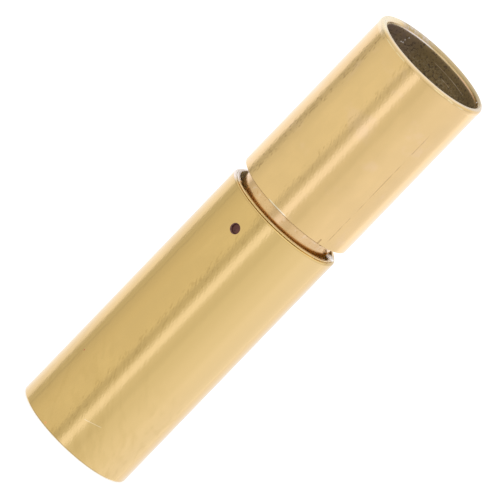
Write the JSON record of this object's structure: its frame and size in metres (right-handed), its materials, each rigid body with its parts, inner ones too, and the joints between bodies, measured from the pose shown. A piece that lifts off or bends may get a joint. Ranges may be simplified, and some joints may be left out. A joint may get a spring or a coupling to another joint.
{
  "type": "twist-lock jewellery clasp",
  "caption": "Tubular twist-lock clasp for a thick cord: two cord cups of one diameter, joined by a neck that turns in a lined socket.",
  "frame": {"origin": "centre of the socket's flat lower end", "axes": "+Z along the clasp from the socket to the plug, -Y to the front where the pin's hole is just left of the middle"},
  "size_m": [0.007, 0.007, 0.0273],
  "materials": {
    "socket_gilt": "polished gilt, a little yellower than the plug",
    "liner_gilt": "bright drawn edge",
    "dark_pin": "tarnished",
    "plug_gilt": "polished gilt",
    "neck_gilt": "satin, pinker than the plug"
  },
  "bodies": {
    "socket": {"socket_shell": "socket_gilt", "catch_pin": "dark_pin"},
    "liner": {"socket_liner": "liner_gilt"},
    "plug": {"plug_shell": "plug_gilt", "plug_neck": "neck_gilt"}
  },
  "joints": [
    {"name": "twist", "type": "hinge", "parent": "socket", "child": "liner", "pos_m": [0, 0, 0.014], "axis": [0, 0, 1], "range_deg": [0, 30.6]},
    {"name": "pull", "type": "slide", "parent": "liner", "child": "plug", "axis": [0, 0, 1], "range_m": [0, 0.007]}
  ]
}
